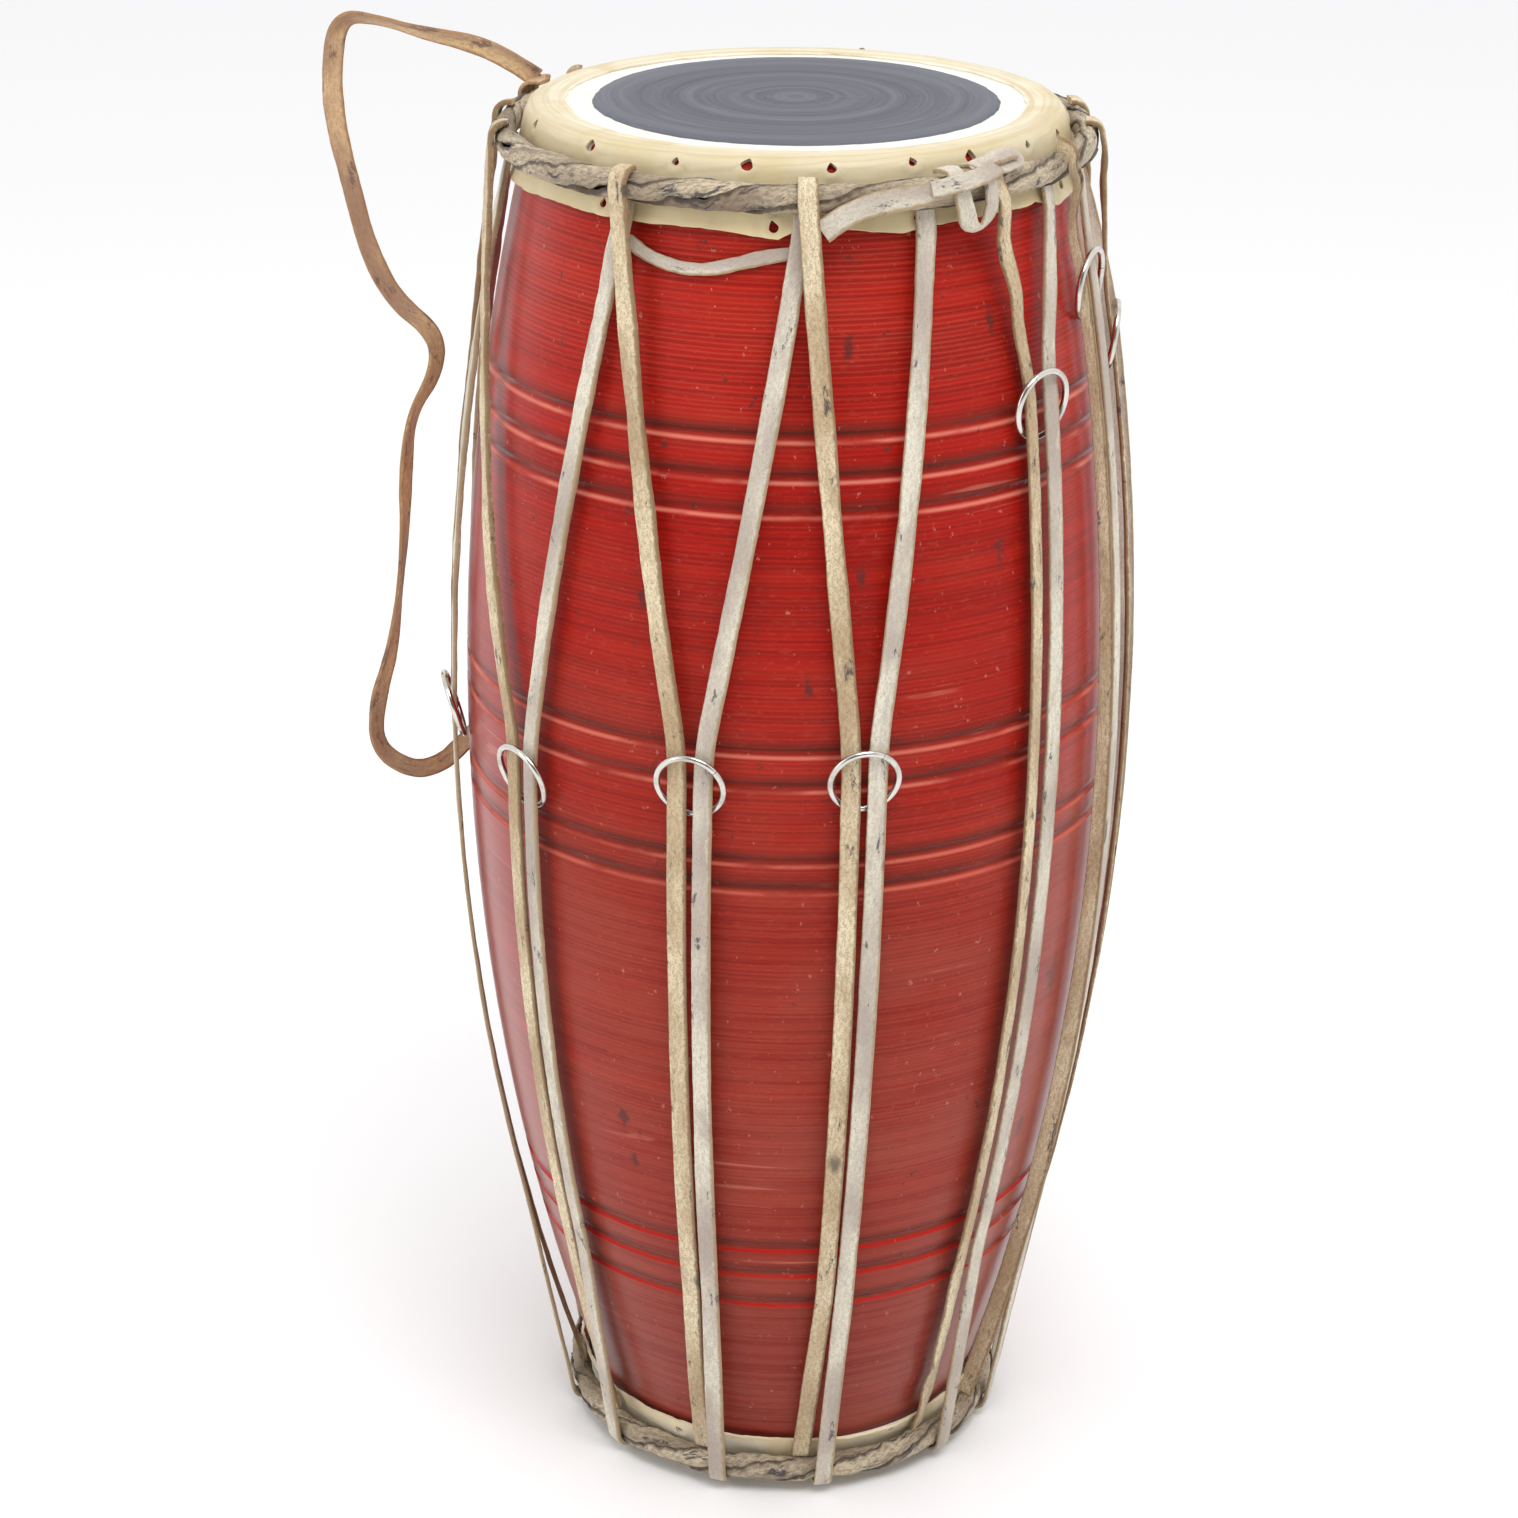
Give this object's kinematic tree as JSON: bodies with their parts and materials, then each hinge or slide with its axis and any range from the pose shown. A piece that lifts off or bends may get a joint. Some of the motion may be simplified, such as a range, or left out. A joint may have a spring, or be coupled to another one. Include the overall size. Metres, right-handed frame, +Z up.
{
  "type": "barrel hand drum",
  "caption": "Barrel hand drum standing on its smaller head: red turned wood, laced hide heads with dark paste discs, sliding tuning rings and a carrying strap.",
  "frame": {"origin": "middle of the flat paste disc of the smaller head, which the drum stands on", "axes": "+Z up along the drum's axis, towards the larger head; -Y is the front; +X is to the right seen from the front"},
  "size_m": [0.2743, 0.2344, 0.4984],
  "materials": {
    "red_lacquered_wood": "worn red lacquer over turned wood",
    "white_head_skin": "scraped rawhide",
    "cream_collar_skin": "oily rawhide",
    "tuning_paste": "matte iron and rice paste, burnished in rings",
    "grey_hide_braid": "stained rawhide",
    "speckled_thong": "flesh side of a rawhide thong",
    "pale_thong": "grain side of a rawhide thong",
    "tan_strap_leather": "stiff tan strip",
    "ring_steel": "nickel-plated wire"
  },
  "bodies": {
    "root": {"barrel_shell": "red_lacquered_wood", "top_head_skin": "white_head_skin", "top_head_collar": "cream_collar_skin", "top_tuning_paste": "tuning_paste", "top_hoop_braid": "grey_hide_braid", "bottom_head_skin": "white_head_skin", "bottom_head_collar": "cream_collar_skin", "bottom_tuning_paste": "tuning_paste", "bottom_hoop_braid": "grey_hide_braid", "lacing_left_run_01": "speckled_thong", "lacing_right_run_01": "pale_thong", "lacing_left_run_02": "speckled_thong", "lacing_right_run_02": "pale_thong", "lacing_left_run_03": "speckled_thong", "lacing_right_run_03": "pale_thong", "lacing_left_run_04": "speckled_thong", "lacing_right_run_04": "pale_thong", "lacing_left_run_05": "speckled_thong", "lacing_right_run_05": "pale_thong", "lacing_left_run_06": "speckled_thong", "lacing_right_run_06": "pale_thong", "lacing_left_run_07": "speckled_thong", "lacing_right_run_07": "pale_thong", "lacing_left_run_08": "speckled_thong", "lacing_right_run_08": "pale_thong", "lacing_left_run_09": "speckled_thong", "lacing_right_run_09": "pale_thong", "lacing_left_run_10": "speckled_thong", "lacing_right_run_10": "pale_thong", "lacing_left_run_11": "speckled_thong", "lacing_right_run_11": "pale_thong", "lacing_left_run_12": "speckled_thong", "lacing_right_run_12": "pale_thong", "lacing_end_band": "pale_thong", "lacing_end_knot": "pale_thong", "lacing_tail": "pale_thong", "carrying_strap": "tan_strap_leather", "strap_top_knot": "tan_strap_leather", "strap_side_knot": "tan_strap_leather"},
    "ring_01": {"tuning_ring_01": "ring_steel"},
    "ring_02": {"tuning_ring_02": "ring_steel"},
    "ring_03": {"tuning_ring_03": "ring_steel"},
    "ring_04": {"tuning_ring_04": "ring_steel"},
    "ring_05": {"tuning_ring_05": "ring_steel"},
    "ring_06": {"tuning_ring_06": "ring_steel"},
    "ring_07": {"tuning_ring_07": "ring_steel"},
    "ring_08": {"tuning_ring_08": "ring_steel"},
    "ring_09": {"tuning_ring_09": "ring_steel"},
    "ring_10": {"tuning_ring_10": "ring_steel"},
    "ring_11": {"tuning_ring_11": "ring_steel"},
    "ring_12": {"tuning_ring_12": "ring_steel"}
  },
  "joints": [
    {"name": "ring_01_travel", "type": "hinge", "parent": "root", "child": "ring_01", "pos_m": [0.71393, 0.10077, 0.272], "axis": [0.1397, -0.9901, 0.0145], "range_deg": [0, 12.15]},
    {"name": "ring_02_travel", "type": "hinge", "parent": "root", "child": "ring_02", "pos_m": [0.53997, 0.47779, 0.272], "axis": [0.6627, -0.7489, 0.0019], "range_deg": [0, 12.08]},
    {"name": "ring_03_travel", "type": "hinge", "parent": "root", "child": "ring_03", "pos_m": [0.19404, 0.69441, 0.272], "axis": [0.963, -0.2691, -0.0128], "range_deg": [0, 12.91]},
    {"name": "ring_04_travel", "type": "hinge", "parent": "root", "child": "ring_04", "pos_m": [-0.14851, 0.70555, 0.272], "axis": [0.9785, 0.206, -0.0108], "range_deg": [0, 13.11]},
    {"name": "ring_05_travel", "type": "hinge", "parent": "root", "child": "ring_05", "pos_m": [-0.5127, 0.50694, 0.272], "axis": [0.7028, 0.7108, -0.0297], "range_deg": [0, 20.7]},
    {"name": "ring_06_travel", "type": "hinge", "parent": "root", "child": "ring_06", "pos_m": [-0.6677, 0.27208, 0.272], "axis": [0.3773, 0.9259, -0.0182], "range_deg": [0, 22.71]},
    {"name": "ring_07_travel", "type": "hinge", "parent": "root", "child": "ring_07", "pos_m": [-0.72078, 0.01802, 0.272], "axis": [0.025, 0.9997, -0.0058], "range_deg": [0, 20.9]},
    {"name": "ring_08_travel", "type": "hinge", "parent": "root", "child": "ring_08", "pos_m": [-0.61921, -0.36936, 0.272], "axis": [-0.5122, 0.8587, -0.0132], "range_deg": [0, 13.53]},
    {"name": "ring_09_travel", "type": "hinge", "parent": "root", "child": "ring_09", "pos_m": [-0.34847, -0.6312, 0.272], "axis": [-0.8754, 0.4833, 0.0139], "range_deg": [0, 12.7]},
    {"name": "ring_10_travel", "type": "hinge", "parent": "root", "child": "ring_10", "pos_m": [0.04625, -0.71952, 0.272], "axis": [-0.9978, -0.0641, -0.0169], "range_deg": [0, 14.14]},
    {"name": "ring_11_travel", "type": "hinge", "parent": "root", "child": "ring_11", "pos_m": [0.40388, -0.59727, 0.272], "axis": [-0.8282, -0.5601, 0.0191], "range_deg": [0, 12.29]},
    {"name": "ring_12_travel", "type": "hinge", "parent": "root", "child": "ring_12", "pos_m": [0.67042, -0.26531, 0.272], "axis": [-0.3679, -0.9298, -0.0129], "range_deg": [0, 8.45]}
  ]
}
